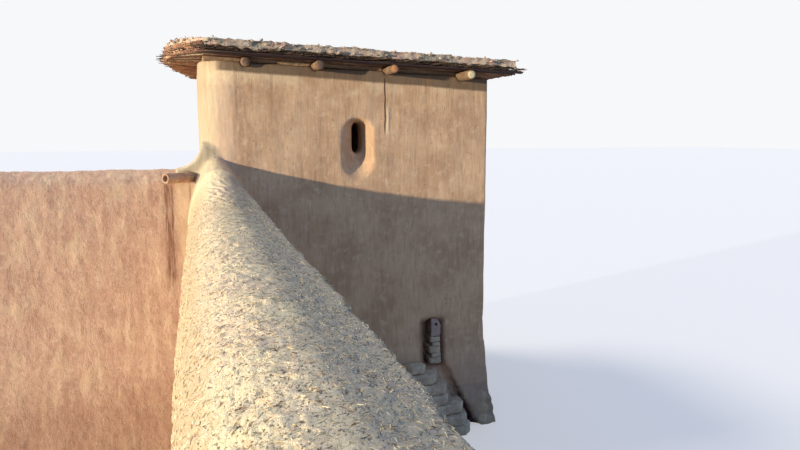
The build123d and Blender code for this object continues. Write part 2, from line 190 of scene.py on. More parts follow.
class Sheet:
    """A node tree that nodes are added to, the place it works from, and its colour so far."""

    def __init__(self, tree, source=None, output=0):
        self.tree = tree
        if source:
            self.place = self.add(source, output=output)
            self.xyz = self.axes(self.place)

    def add(self, kind, values=None, output=0, **settings):
        """A node of that kind, with values or wires for its sockets, and its settings."""
        node = self.tree.nodes.new(kind)
        for name, value in settings.items():
            setattr(node, name, value)
        for name, value in (values or {}).items():
            if isinstance(value, Wire):
                self.tree.links.new(value.socket, node.inputs[name])
            else:
                node.inputs[name].default_value = value
        return Wire(self, node.outputs[output])

    def stretched(self, place, factors):
        """A place whose three parts are multiplied by three factors."""
        return self.add("ShaderNodeVectorMath", {0: place, 1: factors}, operation="MULTIPLY")

    def noise(self, size, detail=3.0, roughness=0.55, stretch=None, output=0):
        """Noise from 0 to 1 whose lumps are about that size, on a place stretched by three factors."""
        place = self.stretched(self.place, stretch) if stretch else self.place
        values = {"Vector": place, "Scale": 1 / size, "Detail": detail, "Roughness": roughness}
        return self.add("ShaderNodeTexNoise", values, output)

    def cells(self, size, output="Distance", place=None):
        """Cells about that size: the distance to each one's middle, or a colour for each."""
        values = {"Vector": place or self.place, "Scale": 1 / size}
        return self.add("ShaderNodeTexVoronoi", values, output)

    def axes(self, place):
        """The three parts of a place."""
        node = self.add("ShaderNodeSeparateXYZ", {0: place}).socket.node
        return [Wire(self, socket) for socket in node.outputs]

    def mixed(self, factor, first, second):
        """Two colours, wires or codes, mixed by a factor."""
        first, second = (rgb(each) if isinstance(each, str) else each for each in (first, second))
        # A Mix node's factor is input 0, its colours are 6 and 7, and the mixed colour is output 2.
        return self.add("ShaderNodeMix", {0: factor, 6: first, 7: second}, 2, data_type="RGBA")

    def base(self, factor, first, second):
        """Begin the sheet's colour as a mix of two."""
        self.colour = self.mixed(factor, first, second)

    def over(self, factor, colour):
        """Lay one more colour over the sheet's own, as strongly as the factor says."""
        self.colour = self.mixed(factor, self.colour, colour)

    def mottle(self, tones, patch=0.5, mottle=0.07, speck=0.009):
        """Begin the colour with four tones: two in patches, one in mottles, one in specks."""
        self.base(self.noise(patch, 4.0, 0.6).band(0.38, 0.64), tones[0], tones[1])
        self.over(self.noise(mottle, 4.0, 0.65).band(0.48, 0.72) * 0.7, tones[2])
        self.over(self.noise(speck, 2.0, 0.6).band(0.6, 0.75) * 0.6, tones[3])

    def facing(self, axis):
        """The part along one axis of the way that the surface looks."""
        return self.axes(self.add("ShaderNodeNewGeometry", None, "Normal"))[axis]


# Meshes

def keep(name, data):
    """An object in the scene for that mesh, lamp or camera."""
    made = bpy.data.objects.new(name, data)
    bpy.context.scene.collection.objects.link(made)
    return made


def drop(piece):
    """Take an object and its mesh out of the file."""
    mesh = piece.data
    bpy.data.objects.remove(piece)
    bpy.data.meshes.remove(mesh)


def cut_off(work, cuts):
    """Take away what lies beyond each cut, a point and the way that goes, and close the mesh there."""
    for point, away in cuts:
        away = Vector(away)
        found = bmesh.ops.bisect_plane(work, geom=work.verts[:] + work.edges[:] + work.faces[:],
                                       plane_co=point, plane_no=away, clear_outer=True)
        rim = [part for part in found["geom_cut"] if isinstance(part, bmesh.types.BMEdge)]
        rim = [edge for edge in rim if edge.is_boundary]
        if not rim:
            continue
        for edge in rim:
            edge.smooth = False
        filled = bmesh.ops.triangle_fill(work, edges=rim, normal=away)
        for part in filled["geom"]:
            if isinstance(part, bmesh.types.BMFace):
                part.smooth = False
                part.normal_update()
                if part.normal.dot(away) < 0:
                    part.normal_flip()


def joined_nodes(names, swell, cuts):
    """One mesh of those CAD nodes up to each cut, the skin moved out so that neighbours meet."""
    whole = bmesh.new()
    for name in names:
        part = bmesh.new()
        part.from_mesh(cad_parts[name].data)
        bmesh.ops.remove_doubles(part, verts=part.verts, dist=1e-5)
        part.normal_update()
        for vertex in part.verts:
            vertex.co += vertex.normal * swell
        cut_off(part, cuts)
        scratch = bpy.data.meshes.new("scratch")
        part.to_mesh(scratch)
        part.free()
        whole.from_mesh(scratch)
        bpy.data.meshes.remove(scratch)
    mesh = bpy.data.meshes.new("joined")
    whole.to_mesh(mesh)
    whole.free()
    return keep("joined", mesh)


def finished(piece, name):
    """A plain mesh of what an object's modifiers make. The object goes."""
    graph = bpy.context.evaluated_depsgraph_get()
    mesh = bpy.data.meshes.new_from_object(piece.evaluated_get(graph), depsgraph=graph)
    drop(piece)
    mesh.name = name
    return keep(name, mesh)


def with_tree(piece, tree, sizes):
    """Put a tree of geometry on an object, its named inputs set by their identifiers."""
    modifier = piece.modifiers.new(tree.name, "NODES")
    modifier.node_group = tree
    for item in tree.interface.items_tree:
        if item.in_out == "INPUT" and item.name in sizes:
            modifier[item.identifier] = sizes[item.name]
    return piece


def moulded(names, grain, soften, relief, cuts, swell=SKIN_SWELL):
    """CAD nodes run together into one skin of earth or stone, softened and given relief."""
    piece = joined_nodes(names, swell, cuts)
    skin = piece.modifiers.new("Skin", "REMESH")
    skin.mode = "VOXEL"
    skin.voxel_size = grain * COARSENING
    skin.use_smooth_shade = True
    if soften:
        smooth = piece.modifiers.new("Soften", "SMOOTH")
        smooth.factor = 0.5
        smooth.iterations = max(1, round(soften / COARSENING ** 2))
    with_tree(piece, RELIEF_TREE, relief)
    return finished(piece, "moulded")


def cropped(source, name, cuts):
    """A closed copy of a mesh without what lies beyond each cut."""
    work = bmesh.new()
    work.from_mesh(source.data)
    cut_off(work, cuts)
    mesh = bpy.data.meshes.new(name)
    work.to_mesh(mesh)
    work.free()
    return keep(name, mesh)


def within(mesh):
    """Hold a mesh inside the CAD box."""
    places = np.empty(len(mesh.vertices) * 3, np.float32)
    mesh.vertices.foreach_get("co", places)
    places = np.clip(places.reshape(-1, 3), cad_low, cad_high)
    mesh.vertices.foreach_set("co", places.astype(np.float32).ravel())
    mesh.update()


def clad(piece, finish, *nodes):
    """Give a piece its finish, and let it stand for CAD nodes."""
    material, slot = finish
    if not piece.data.materials:
        piece.data.materials.append(material)
    piece.data.materials[0] = material
    within(piece.data)
    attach(piece, "root")
    if nodes:
        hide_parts(*nodes)


def cut_piece(whole, name, cuts, finish, *nodes):
    """One piece of a larger skin, up to its cuts."""
    clad(cropped(whole, name, cuts), finish, *nodes)


def skinned(node, name, grain, soften, relief, finish, swell=SKIN_SWELL):
    """One CAD node in a skin of its own."""
    whole = moulded([node], grain, soften, relief, [], swell)
    cut_piece(whole, name, [], finish, node)
    drop(whole)


# Trees of geometry

def new_tree(name, inputs):
    """The sheet of a new tree of geometry with named inputs, and a wire for each input."""
    tree = bpy.data.node_groups.new(name, "GeometryNodeTree")
    tree.is_modifier = True
    tree.interface.new_socket("Geometry", in_out="INPUT", socket_type="NodeSocketGeometry")
    tree.interface.new_socket("Geometry", in_out="OUTPUT", socket_type="NodeSocketGeometry")
    for label, value in inputs.items():
        kind = {int: "NodeSocketInt", float: "NodeSocketFloat"}.get(type(value), "NodeSocketMaterial")
        socket = tree.interface.new_socket(label, in_out="INPUT", socket_type=kind)
        if value is not None:
            socket.default_value = value
    sheet = Sheet(tree, "GeometryNodeInputPosition")
    source = tree.nodes.new("NodeGroupInput")
    wires = {socket.name: Wire(sheet, socket) for socket in source.outputs if socket.name}
    return sheet, wires


def closed_tree(sheet, geometry):
    """The tree, with the geometry led out of it."""
    target = sheet.tree.nodes.new("NodeGroupOutput")
    sheet.tree.links.new(geometry.socket, target.inputs[0])
    return sheet.tree


def pressed(sheet, geometry, height):
    """Geometry whose skin is moved along its normals by a height."""
    normal = sheet.add("GeometryNodeInputNormal")
    offset = sheet.add("ShaderNodeVectorMath", {0: normal, "Scale": height}, operation="SCALE")
    return sheet.add("GeometryNodeSetPosition", {"Geometry": geometry, "Offset": offset})


def in_material(sheet, geometry, material):
    """Geometry made real, in one material."""
    real = sheet.add("GeometryNodeRealizeInstances", {"Geometry": geometry})
    return sheet.add("GeometryNodeSetMaterial", {"Geometry": real, "Material": material})


def spread_points(sheet, given, share):
    """Points over the geometry given, thinned to a share of its density."""
    values = {"Mesh": given["Geometry"], "Density": given["Density"] * share, "Seed": given["Seed"]}
    return sheet.add("GeometryNodeDistributePointsOnFaces", values, "Points")


def random_vector(sheet, least, most, seed):
    """Three random numbers for each point, between two sets of three."""
    values = {0: least, 1: most, "Seed": seed}
    return sheet.add("FunctionNodeRandomValue", values, data_type="FLOAT_VECTOR")

def trench(sheet):
    """1 in the middle of the trench washed out of the front wall's foot, and 0 beside it."""
    x, y, z = sheet.xyz
    wander = (sheet.noise(0.14, 3) - 0.5) * 0.12
    middle = TRENCH_X + (TRENCH_TOP - z) * TRENCH_RUN + wander
    down = z.band(TRENCH_TOP + 0.08, TRENCH_TOP - 0.02)
    return x.near(middle, 0.11) * down * y.band(FRONT_FACE + 0.06, FRONT_FACE + 0.03)


def relief_tree():
    """Lumps, knobs, streaks, pits and finger strokes pressed into a skin along its normals."""
    sheet, given = new_tree("Earth relief", {
        "Lump Height": 0.012, "Lump Size": 0.4, "Knob Height": 0.004, "Knob Size": 0.07,
        "Streak Height": 0.0, "Streak Width": 0.05, "Pit Depth": 0.0, "Pit Size": 0.045,
        "Cell Height": 0.0, "Cell Size": 0.15, "Cell Top": 100.0, "Stroke Height": 0.0,
        "Trench Depth": 0.0, "Rough From": 100.0, "Rough To": 99.0, "Bias": 0.5})
    x, y, z = sheet.xyz
    rough = y.band(given["Rough From"], given["Rough To"])
    lump = sheet.noise(given["Lump Size"], 2, 0.5) - given["Bias"]
    knob = sheet.noise(given["Knob Size"], 3, 0.6) - given["Bias"]
    streak = sheet.noise(given["Streak Width"], 3, 0.6, (1, 1, 0.12)) - given["Bias"]
    chance = sheet.axes(sheet.cells(given["Pit Size"], "Color"))[0]
    pit = sheet.cells(given["Pit Size"]).band(0.42, 0.12) * chance.band(0.45, 0.8)
    cell = sheet.cells(given["Cell Size"]).band(0.75, 0.1) - 0.5
    cell = cell * z.band(given["Cell Top"], given["Cell Top"] - 0.12)
    slant = sheet.noise(0.12, 2) * 0.09 + x * 0.55 + z * 0.35 + y * 0.3
    stroke_zone = y.near(SWEEP_START + 0.62, 0.5) * z.band(COPING_BASE + 0.02, COPING_BASE + 0.2)
    stroke = (slant * (2 * math.pi / STROKE_WIDTH)).math("SINE") * stroke_zone
    height = (lump * given["Lump Height"]
              + knob * given["Knob Height"] * (rough * 1.5 + 0.5)
              + streak * given["Streak Height"]
              - pit * given["Pit Depth"] * rough
              + cell * given["Cell Height"]
              + stroke * given["Stroke Height"]
              - trench(sheet) * given["Trench Depth"])
    return closed_tree(sheet, pressed(sheet, given["Geometry"], height))


def straw_tree():
    """Short straws strewn over a skin, lying nearly flat in it."""
    sheet, given = new_tree("Straw", {
        "Density": 900.0, "Length": 0.04, "Radius": 0.0011, "Rough From": 100.0, "Rough To": 99.0,
        "Seed": 1, "Material": None})
    y = sheet.xyz[1]
    normal_z = sheet.axes(sheet.add("GeometryNodeInputNormal"))[2]
    patchy = sheet.noise(0.25, 2).band(0.3, 0.6, 0.45, 1.0)
    share = y.band(given["Rough From"], given["Rough To"]) * normal_z.band(-0.2, 0.3) * patchy
    points = spread_points(sheet, given, share)
    facing = Wire(sheet, points.socket.node.outputs["Rotation"])
    lie = random_vector(sheet, (math.pi / 2 - 0.3, -0.1, 0.0), (math.pi / 2 + 0.12, 0.1, 2 * math.pi), 3)
    lie = sheet.add("FunctionNodeEulerToRotation", {0: lie})
    facing = sheet.add("FunctionNodeRotateRotation", {0: facing, 1: lie}, rotation_space="LOCAL")
    size = random_vector(sheet, (0.6, 0.6, 0.3), (1.5, 1.5, 1.3), 5)
    straw = {"Vertices": 3, "Radius": given["Radius"], "Depth": given["Length"]}
    straw = sheet.add("GeometryNodeMeshCylinder", straw, fill_type="NGON")
    strewn = {"Points": points, "Instance": straw, "Rotation": facing, "Scale": size}
    strewn = sheet.add("GeometryNodeInstanceOnPoints", strewn)
    strewn = in_material(sheet, strewn, given["Material"])
    both = sheet.add("GeometryNodeJoinGeometry", {0: strewn})
    sheet.tree.links.new(given["Geometry"].socket, both.socket.node.inputs[0])
    return closed_tree(sheet, both)


def clod_tree():
    """Lumps of dry earth strewn over the rim of a base, which goes."""
    sheet, given = new_tree("Clods", {
        "Density": 40.0, "Size": 0.03, "Flat": 0.7, "Top": 0.6, "Seed": 1, "Material": None})
    normal_z = sheet.axes(sheet.add("GeometryNodeInputNormal"))[2]
    share = normal_z.band(given["Top"], given["Top"] - 0.2) * normal_z.band(-0.7, -0.3)
    share = share * sheet.noise(0.3, 2).band(0.35, 0.6, 0.25, 1.0)
    turn = random_vector(sheet, (-0.5, -0.5, 0.0), (0.5, 0.5, 6.28), 7)
    turn = sheet.add("FunctionNodeEulerToRotation", {0: turn})
    size = sheet.add("FunctionNodeRandomValue", {2: 0.0, 3: 1.0, "Seed": 9}, 1, data_type="FLOAT")
    size = size.math("POWER", 2.5) * 1.4 + 0.45
    wide = sheet.add("ShaderNodeCombineXYZ", {0: size, 1: size * 0.8, 2: size * given["Flat"]})
    clod = sheet.add("GeometryNodeMeshIcoSphere", {"Radius": given["Size"], "Subdivisions": 2})
    strewn = {"Points": spread_points(sheet, given, share), "Instance": clod, "Rotation": turn,
              "Scale": wide}
    strewn = sheet.add("GeometryNodeInstanceOnPoints", strewn)
    strewn = sheet.add("GeometryNodeRealizeInstances", {"Geometry": strewn})
    bump = (sheet.noise(given["Size"] * 1.1, 3, 0.6) - 0.5) * given["Size"] * 1.3
    return closed_tree(sheet, in_material(sheet, pressed(sheet, strewn, bump), given["Material"]))


def stalk_tree():
    """Round stalks along lines whose points hold a thickness."""
    sheet, given = new_tree("Stalks", {"Sides": 6, "Material": None})
    thickness = sheet.add("GeometryNodeInputNamedAttribute", {"Name": "thickness"}, data_type="FLOAT")
    line = sheet.add("GeometryNodeMeshToCurve", {"Mesh": given["Geometry"]})
    ring = sheet.add("GeometryNodeCurvePrimitiveCircle", {"Resolution": given["Sides"], "Radius": 1.0})
    stalk = {"Curve": line, "Profile Curve": ring, "Scale": thickness, "Fill Caps": True}
    stalk = sheet.add("GeometryNodeCurveToMesh", stalk)
    return closed_tree(sheet, in_material(sheet, stalk, given["Material"]))


def make_stalks(name, lines, sides, finish, *nodes):
    """A piece of stalks along lines, each a list of places and thicknesses."""
    places, thicknesses = zip(*(point for line in lines for point in line))
    edges = []
    start = 0
    for line in lines:
        edges += [(start + step, start + step + 1) for step in range(len(line) - 1)]
        start += len(line)
    mesh = bpy.data.meshes.new(name)
    mesh.from_pydata(places, edges, [])
    mesh.attributes.new("thickness", "FLOAT", "POINT").data.foreach_set("value", thicknesses)
    piece = with_tree(keep(name, mesh), STALK_TREE, {"Sides": sides, "Material": finish.material})
    piece = finished(piece, name)
    piece.data.polygons.foreach_set("use_smooth", [True] * len(piece.data.polygons))
    clad(piece, finish, *nodes)


RELIEF_TREE = relief_tree()
STRAW_TREE = straw_tree()
CLOD_TREE = clod_tree()
STALK_TREE = stalk_tree()


# Finishes

class Finish(NamedTuple):
    """A material and the name of a slot."""

    material: bpy.types.Material
    slot: str


def painted(name, slot, paint, relief, specular=0.15):
    """A finish from a paint, which lays the colour and gives the roughness and height."""
    material = bpy.data.materials.new(name)
    material.use_nodes = True
    sheet = Sheet(material.node_tree, "ShaderNodeTexCoord", "Object")
    roughness, height = paint(sheet)
    shader = material.node_tree.nodes["Principled BSDF"]
    shader.inputs["Specular IOR Level"].default_value = specular
    shader.inputs["Roughness"].default_value = roughness
    sheet.tree.links.new(sheet.colour.socket, shader.inputs["Base Color"])
    bump = sheet.add("ShaderNodeBump", {"Strength": 1.0, "Distance": relief, "Height": height})
    sheet.tree.links.new(bump.socket, shader.inputs["Normal"])
    return Finish(material, slot)


def plaster_paint(sheet):
    """Tan earth plaster, paler on the corner and under the eaves, with a painted shadow just under the
    eaves and painted shade where it faces the key light, the crack drawn in painted shade and highlight,
    and the trench.
    """
    x, y, z = sheet.xyz
    sheet.mottle(("dcb388", "c79d76", "e6c398", "a98563"), 0.5, 0.1)
    strokes = sheet.noise(0.035, 4, 0.65, (1, 1, 0.16))
    sheet.over(strokes.band(0.5, 0.7) * 0.45, "ac8763")
    sheet.over(strokes.band(0.46, 0.3) * 0.45, "e4c7a1")
    pit = sheet.noise(0.022, 2, 0.6, (1, 1, 0.4)).band(0.66, 0.74)
    sheet.over(pit * 0.4, "7d5c41")
    wobble = sheet.noise(0.2, 3) - 0.5
    corner = (x + wobble * 0.25).band(LEFT_FACE + 0.5, LEFT_FACE + 0.3)
    corner = corner * (y - wobble * 0.2).band(FRONT_FACE + 1.2, FRONT_FACE + 0.5)
    smeared = sheet.mixed(strokes.band(0.4, 0.66), "c9b994", "bba884")
    smeared = sheet.mixed((x + wobble * 0.2).band(LEFT_FACE + 0.16, LEFT_FACE + 0.3), smeared, "caab8c")
    sheet.over(corner * 0.85, smeared)
    ragged = z + x * 0.05 + (sheet.noise(0.18, 4, 0.75) - 0.5) * 0.4
    band = ragged.band(WALL_TOP - 0.36, WALL_TOP - 0.2) * sheet.noise(0.4, 2).band(0.38, 0.55)
    sheet.over(band * x.band(1.2, -0.6, 0.25, 0.6), "f0d4a6")
    on_front = y.band(FRONT_FACE + 0.12, FRONT_FACE + 0.08)
    # Painted shadow: a dark band just under the eaves, sloping with the roof, on the front face only.
    painted_eaves_shadow = (z + (x - LEFT_FACE) * 0.05 + wobble * 0.03).band(WALL_TOP - 0.11, WALL_TOP - 0.08)
    sheet.over(painted_eaves_shadow * on_front * 0.88, "6c5945")
    drip = sheet.noise(0.09, 3, 0.6, (1, 1, 0.05))
    stain = drip.band(0.56, 0.7) * z.band(WALL_TOP - 1.5, WALL_TOP - 0.3)
    sheet.over(stain * 0.35, "a5784f")
    foot = (z + wobble * 0.5).band(1.2, 0.6)
    sheet.over(foot * 0.5, "b0917a")
    wander = (sheet.noise(0.16, 3, stretch=(0.0, 0.0, 1.0)) - 0.5) * 0.03
    reach = z.band(CRACK_LOW - 0.04, CRACK_LOW + 0.1) * z.band(CRACK_HIGH + 0.06, CRACK_HIGH)
    # The crack is a dark line of painted shade with a pale painted highlight along its right lip; the bump
    # presses both in too.
    crack = (x - CRACK_X + wander).math("ABSOLUTE").band(0.014, 0.004) * reach * on_front
    crack_highlight = (x - CRACK_X - 0.034 + wander).math("ABSOLUTE").band(0.026, 0.0) * reach * on_front
    crack_highlight = crack_highlight * z.band(CRACK_LOW + 0.36, CRACK_LOW + 0.24)
    sheet.over(crack * 0.85, "6d4b33")
    sheet.over(crack_highlight * 0.6, "ecd5ae")
    # Painted shade: surfaces that face the low key light from the left are greyed and darkened.
    sheet.over(sheet.facing(0).band(-0.6, -0.95) * 0.6, "b59977")
    hatch = (x - HATCH_X).math("ABSOLUTE").band(0.2, 0.12) * z.band(HATCH_TOP + 0.05, HATCH_TOP - 0.05)
    hatch = hatch * z.band(HATCH_LOW.z - 0.1, HATCH_LOW.z) * y.band(FRONT_FACE - 0.005, FRONT_FACE + 0.03)
    hatch = hatch * y.band(FRONT_FACE + 0.3, FRONT_FACE + 0.25)
    sheet.over(hatch * 0.85, "5e3a2a")
    sheet.over((trench(sheet) * 1.6).math("MINIMUM", 1.0), "523832")
    grain = sheet.noise(0.012, 4, 0.7)
    return 0.95, strokes * 0.5 + grain * 0.35 - pit * 0.4 - crack * 1.2 + crack_highlight * 0.8


def straw_mud_paint(sheet):
    """Pale straw mud, smooth at the corner, coarse and pitted along the wall, with painted shade on its
    right flank and where it faces the key light.
    """
    x, y, z = sheet.xyz
    sheet.mottle(("ead3a4", "e2c8a2", "d4b694", "ab906e"))
    rough = y.band(ROUGH_FROM, ROUGH_TO)
    grit = sheet.noise(0.0115, 3, 0.65)
    pit = grit.band(0.58, 0.66) * sheet.noise(0.09, 3, 0.6).band(0.32, 0.55) * rough
    sheet.over(pit * 0.85, "75624a")
    sheet.over(grit.band(0.42, 0.32) * rough * 0.6, "f4e6c6")
    flecks = sheet.noise(0.007, 2, 0.6, (1, 0.2, 1))
    cross = sheet.noise(0.007, 2, 0.6, (0.2, 1, 1))
    sheet.over(flecks.band(0.6, 0.72) * rough * 0.45, "f2e2bd")
    sheet.over(cross.band(0.6, 0.72) * rough * 0.4, "a58563")
    height = flecks * 0.3 + cross * 0.3 + grit * -1.2 + sheet.noise(0.03, 4, 0.7) * 0.5 - pit
    # Painted shade: where the coping faces the low key light from the left it is darkened, more strongly
    # away from the house.
    key_side_shade = y.band(FRONT_FACE - 0.15, FRONT_FACE - 0.45) * 0.5 + 0.25
    sheet.over(sheet.facing(0).band(-0.35, -0.85) * key_side_shade, "b59a73")
    # Painted shade: right of its centre line the coping's flank is greyed as if out of the light.
    wander = (sheet.noise(0.25, 4, 0.7) - 0.5) * 0.25
    painted_flank_shade = (x + wander - COPING_CENTRE).band(0.0, 0.12) * y.band(FRONT_FACE + 0.05, FRONT_FACE - 0.1)
    sheet.over(painted_flank_shade * 0.66, "858178")
    foot = (z + sheet.noise(0.3, 3) * 0.5).band(1.5, 0.5)
    sheet.over(foot * 0.4, "b18d68")
    return 0.95, height


def yard_mud_paint(sheet):
    """The plain mud of the yard wall's body."""
    x, y, z = sheet.xyz
    sheet.mottle(("b89872", "a88762", "c4a67e", "7f6248"), 0.6, 0.08)
    strokes = sheet.noise(0.04, 4, 0.65, (1, 1, 0.2))
    sheet.over(strokes.band(0.52, 0.74) * 0.5, "a37e5c")
    foot = (z + sheet.noise(0.3, 3) * 0.4).band(0.7, 0.2)
    sheet.over(foot * 0.5, "947255")
    return 0.96, strokes * 0.5 + sheet.noise(0.015, 4, 0.7) * 0.5


def red_earth_paint(sheet):
    """Pinkish earth with rain streaks, paler by the corner, with a stain under the drain."""
    x, y, z = sheet.xyz
    sheet.mottle(("d8b08e", "cba182", "e3c3a0", "a97f62"), 0.5, 0.05, 0.014)
    streaks = sheet.noise(0.032, 4, 0.7, (1, 1, 0.6))
    sheet.over(streaks.band(0.5, 0.7) * 0.55, "b98c6c")
    broad = sheet.noise(0.12, 3, stretch=(1, 1, 0.4))
    sheet.over(broad.band(0.5, 0.66) * 0.5, "e6c79c")
    wobble = (sheet.noise(0.1, 3, stretch=(1, 1, 0.4)) - 0.5) * 0.1
    sheet.over((x + wobble).band(DRAIN_X + 0.06, DRAIN_X + 0.14) * 0.75, "e6c497")
    reach = z.band(DRAIN_Z + 0.02, DRAIN_Z - 0.06) * (z + wobble * 3).band(DRAIN_Z - 1.25, DRAIN_Z - 0.95)
    runs = sheet.noise(0.02, 3, 0.6, (1, 1, 0.04)).band(0.4, 0.6, 0.3, 1.0)
    stain = (x + wobble * 0.4).near(DRAIN_X + 0.01, 0.085) * runs * reach
    stain = stain + (x + wobble * 0.2).near(DRAIN_X + 0.235, 0.014) * reach * 0.5
    sheet.over((stain * 1.1).math("MINIMUM", 0.85), "80553f")
    foot = (z + wobble * 3).band(1.3, 0.5)
    sheet.over(foot * 0.4, "97694b")
    return 0.96, streaks * 0.9 + sheet.noise(0.014, 4, 0.7) * 0.6


def roof_earth_paint(sheet):
    """Dry roof mud in clods of several tones, with gravel."""
    bend = sheet.stretched(sheet.noise(0.05, 2, 0.5, None, "Color"), (0.03, 0.03, 0.03))
    bent = sheet.add("ShaderNodeVectorMath", {0: sheet.place, 1: bend}, operation="ADD")
    tone = sheet.axes(sheet.cells(0.085, "Color", bent))
    sheet.base(tone[0].band(0.2, 0.8), "b39f86", "cdb394")
    sheet.over(tone[1].band(0.66, 0.84), "d3ab8e")
    sheet.over(tone[2].band(0.7, 0.86), "8f8672")
    small = sheet.noise(0.02, 4, 0.7)
    sheet.over(small.band(0.5, 0.68) * 0.6, "e4d2b4")
    sheet.over(small.band(0.46, 0.3) * 0.6, "75634f")
    chance = sheet.axes(sheet.cells(0.03, "Color"))[0]
    pebble = sheet.cells(0.03).band(0.36, 0.26) * chance.band(0.84, 0.88)
    sheet.over(pebble * 0.8, "e6dcc8")
    return 0.97, small + pebble * 0.6


def plain_paint(tones, patch, mottle, grain, roughness):
    """A paint of four earth tones with an even grain."""
    def paint(sheet):
        sheet.mottle(tones, patch, mottle)
        return roughness, sheet.noise(grain, 4.0, 0.7)
    return paint


def rubble_paint(sheet):
    """Rough stones bedded in earth."""
    x, y, z = sheet.xyz
    tone = sheet.axes(sheet.cells(0.14, "Color"))
    joint = sheet.cells(0.14).band(0.5, 0.78)
    sheet.base(tone[0], "b79c7c", "d1b48b")
    sheet.over(tone[1].band(0.6, 0.9) * 0.8, "a5866b")
    sheet.over(joint, "b09479")
    small = sheet.noise(0.03, 4, 0.7)
    sheet.over(small.band(0.52, 0.72) * 0.6, "806a56")
    smear = (z + (sheet.noise(0.15, 3) - 0.5) * 0.5).band(FOOT_TOP - 0.3, FOOT_TOP - 0.12)
    sheet.over(smear * 0.8, "b5957a")
    sheet.over((trench(sheet) * 1.6).math("MINIMUM", 1.0), "4c3430")
    return 0.93, small - joint * 0.5


def flat_stone_paint(sheet):
    """Grey-brown slate-like stones with dusty tops."""
    x, y, z = sheet.xyz
    sheet.base(sheet.noise(0.12, 3).band(0.4, 0.65), "bfa688", "d8c19c")
    layers = sheet.noise(0.05, 4, 0.7, (1, 1, 5.0))
    sheet.over(layers.band(0.5, 0.68) * 0.7, "97806a")
    sheet.over(sheet.noise(0.03, 3).band(0.55, 0.7) * 0.5, "dcc4a4")
    plug = z.band(PLUG_FOOT - 0.01, PLUG_FOOT + 0.01) * x.near(HATCH_X, 0.5).band(0.0, 0.1)
    plug = plug * y.band(FRONT_FACE - 0.1, FRONT_FACE - 0.05)
    sheet.over(plug * 0.9, "b39482")
    # A near-black spot of painted shade stands for the depth of the hole in the hatch stones; the bump
    # only dents it.
    hole = (x - HATCH_X - 0.052).near(0.0, 0.02) * (z - HATCH_TOP + 0.082).near(0.0, 0.024)
    sheet.over((hole * 3).math("MINIMUM", 1.0), "2c1c18")
    return 0.9, layers - hole * 2


def bark_paint(sheet, stretch, pale):
    """Grey-brown bark with dark lines along it. Gives the lines."""
    lines = sheet.noise(0.012, 4, 0.7, stretch)
    sheet.base(sheet.noise(0.1, 3).band(0.4, 0.65), "7d634b", pale)
    sheet.over(lines.band(0.5, 0.68) * 0.7, "4b3829")
    return lines


def log_paint(sheet):
    """The roof logs' bark, with cut ends past the walls: dark grey on the left logs as painted shade,
    orange and then pale yellow further right.
    """
    x = sheet.xyz[0]
    lines = bark_paint(sheet, (1, 0.08, 1), "96795b")
    cut = sheet.facing(1).math("ABSOLUTE").band(0.75, 0.92)
    # The left logs' cut ends are dark grey as painted shade; further right they turn orange and then pale
    # yellow.
    wood = sheet.mixed(x.band(-0.3, 0.2), "6a5a50", "cf8d58")
    wood = sheet.mixed(x.band(0.7, 1.0), wood, "f0d9a4")
    sheet.over(cut, sheet.mixed(sheet.noise(0.02, 3).band(0.4, 0.65) * 0.5, wood, "a8794e"))
    return 0.85, lines * (1 - cut)


def lintel_paint(sheet):
    """The bark of the door's lintel, whose logs lie along X."""
    return 0.85, bark_paint(sheet, (0.08, 1, 1), "8f7357")


def cane_paint(sheet):
    """Old canes in reddish browns, some paler, with fine lines along them, and painted shade on their
    front ends under the eaves.
    """
    x, y, z = sheet.xyz
    tone = sheet.noise(0.03, 2, 0.5, (0.12, 1, 1))
    sheet.base(tone.band(0.36, 0.62), "6f4c36", "a8764f")
    pale = sheet.noise(0.018, 1, stretch=(0.12, 1, 1)).band(0.6, 0.66)
    sheet.over(pale * 0.8, "c9a27a")
    lines = sheet.noise(0.004, 2, 0.6, (0.05, 1, 1))
    sheet.over(lines.band(0.5, 0.66) * 0.5, "4a3226")
    # Painted shade: the canes' front ends right of the left face are darkened almost to black under the
    # eaves.
    painted_cane_shade = y.band(FRONT_FACE + 0.1, FRONT_FACE - 0.05) * x.band(LEFT_FACE - 0.1, LEFT_FACE + 0.25)
    sheet.over(painted_cane_shade * 0.92, "35292a")
    return 0.7, lines


def brush_paint(sheet):
    """Dark dry brush and leaves between the canes and the mud."""
    tone = sheet.noise(0.02, 3, 0.6)
    sheet.base(tone.band(0.36, 0.6), "3e3127", "6e5843")
    sheet.over(sheet.noise(0.03, 2).band(0.6, 0.68) * 0.7, "a08560")
    return 0.9, tone


def straw_paint(sheet):
    """Dry straw, from pale gold to weathered brown."""
    tone = sheet.noise(0.02, 2)
    sheet.base(tone.band(0.4, 0.6), "f0deb4", "d3b583")
    sheet.over(sheet.noise(0.035, 2).band(0.56, 0.62), "8b6c4c")
    return 0.75, tone


# Pieces

def away(axis, place, side):
    """A cut at a place on an axis, 0 to 2, that takes away what lies on that side, -1 or 1."""
    point = [0.0, 0.0, 0.0]
    direction = [0.0, 0.0, 0.0]
    point[axis] = place
    direction[axis] = side
    return (point, direction)


def between(axis, low, high):
    """Two cuts that leave what lies between two places on an axis."""
    return [away(axis, low, -1), away(axis, high, 1)]


